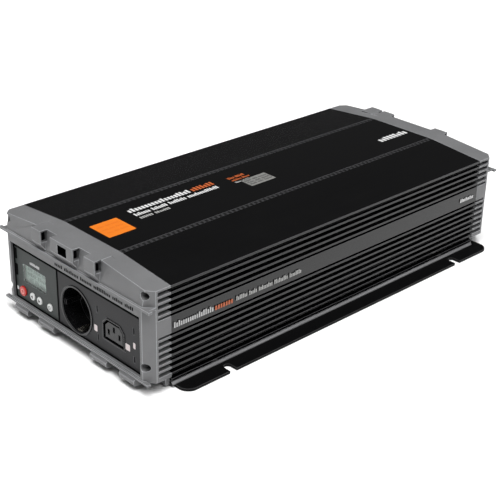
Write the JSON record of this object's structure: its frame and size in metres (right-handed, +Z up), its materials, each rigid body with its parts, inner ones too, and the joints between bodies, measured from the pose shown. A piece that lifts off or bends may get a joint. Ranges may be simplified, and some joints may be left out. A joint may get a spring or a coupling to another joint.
{
  "type": "power inverter",
  "caption": "Long finned black inverter housing with grey end caps, socket panel with display and keys in front, terminals and fans behind, flanged base.",
  "frame": {"origin": "centre of the underside, on the surface the inverter stands on", "axes": "+Y along the length from the socket end to the battery end, +X to the right seen from the socket end, +Z up"},
  "size_m": [0.23, 0.444, 0.098],
  "materials": {
    "black_anodised": "satin black anodised",
    "black_painted_steel": "satin black powder coat",
    "cap_grey": "satin mid grey, fine texture",
    "panel_charcoal": "satin charcoal",
    "bezel_grey_green": "satin dark grey green",
    "clear_window": "clear gloss",
    "lcd_glass": "grey green",
    "circuit_board": "green solder mask",
    "silicone": "matt",
    "button_red": "translucent red",
    "key_white": "white",
    "socket_black": "semi gloss black",
    "zinc_steel": "zinc plated",
    "black_screw": "black oxide",
    "nickel_brass": "bright plated",
    "copper": "bare copper",
    "fan_black": "satin black",
    "terminal_red": "red",
    "terminal_black": "black",
    "ferrite": "sintered dark grey",
    "winding": "amber tape over copper",
    "capacitor_sleeve": "dark blue sleeve",
    "epoxy_black": "moulded",
    "relay_case": "blue",
    "fuse_body": "amber translucent",
    "strip_green": "green",
    "wire_insulation": "brown"
  },
  "bodies": {
    "chassis": {"base_plate": "black_painted_steel", "base_plate_screws": "black_screw", "blade_fuses": "fuse_body", "board_screws": "zinc_steel", "board_standoffs": "nickel_brass", "bulk_capacitors": "capacitor_sleeve", "bus_bar_negative": "copper", "bus_bar_nuts": "zinc_steel", "bus_bar_positive": "copper", "clamp_bar_left": "zinc_steel", "clamp_bar_right": "zinc_steel", "control_board": "circuit_board", "display_bezel": "bezel_grey_green", "display_board": "circuit_board", "display_lens": "clear_window", "earth_clips": "nickel_brass", "earth_nuts": "zinc_steel", "earth_stud": "zinc_steel", "fan_frame_left": "fan_black", "fan_frame_right": "fan_black", "fan_guard_left": "zinc_steel", "fan_guard_right": "zinc_steel", "fan_screws": "black_screw", "front_cap": "cap_grey", "front_cap_screws": "black_screw", "front_panel": "black_painted_steel", "housing_extrusion": "black_anodised", "input_capacitors": "capacitor_sleeve", "keypad_pad": "silicone", "lcd_module": "lcd_glass", "main_board": "circuit_board", "outlet_terminal_strip": "strip_green", "outlet_wires": "wire_insulation", "output_choke": "winding", "output_relay": "relay_case", "power_transistors_left": "epoxy_black", "power_transistors_right": "epoxy_black", "rear_cap": "cap_grey", "rear_cap_screws": "black_screw", "rear_panel": "black_painted_steel", "remote_jack": "epoxy_black", "round_socket_body": "socket_black", "round_socket_contacts": "nickel_brass", "socket_plate": "panel_charcoal", "terminal_base_negative": "terminal_black", "terminal_base_positive": "terminal_red", "terminal_nuts": "zinc_steel", "terminal_stud_negative": "nickel_brass", "terminal_stud_positive": "nickel_brass", "three_pin_outlet_body": "socket_black", "three_pin_outlet_contacts": "nickel_brass", "transformer_cores": "ferrite", "transformer_windings": "winding"},
    "power_button": {"power_button": "button_red"},
    "key_left": {"key_left": "key_white"},
    "key_middle": {"key_middle": "key_white"},
    "key_right": {"key_right": "key_white"},
    "fan_rotor_left": {"fan_rotor_left": "fan_black"},
    "fan_rotor_right": {"fan_rotor_right": "fan_black"}
  },
  "joints": [
    {"name": "power_button_press", "type": "slide", "parent": "chassis", "child": "power_button", "axis": [0, 1, 0], "range_m": [0, 0.0012], "stiffness_N_per_m": 900, "springref_m": -0.001},
    {"name": "key_left_press", "type": "slide", "parent": "chassis", "child": "key_left", "axis": [0, 1, 0], "range_m": [0, 0.001], "stiffness_N_per_m": 600, "springref_m": -0.001},
    {"name": "key_middle_press", "type": "slide", "parent": "chassis", "child": "key_middle", "axis": [0, 1, 0], "range_m": [0, 0.001], "stiffness_N_per_m": 600, "springref_m": -0.001},
    {"name": "key_right_press", "type": "slide", "parent": "chassis", "child": "key_right", "axis": [0, 1, 0], "range_m": [0, 0.001], "stiffness_N_per_m": 600, "springref_m": -0.001},
    {"name": "fan_spin_left", "type": "hinge", "parent": "chassis", "child": "fan_rotor_left", "pos_m": [0.06, 0.191, 0.0415], "axis": [0, 1, 0], "continuous": true},
    {"name": "fan_spin_right", "type": "hinge", "parent": "chassis", "child": "fan_rotor_right", "pos_m": [0.006, 0.191, 0.0415], "axis": [0, 1, 0], "continuous": true}
  ]
}
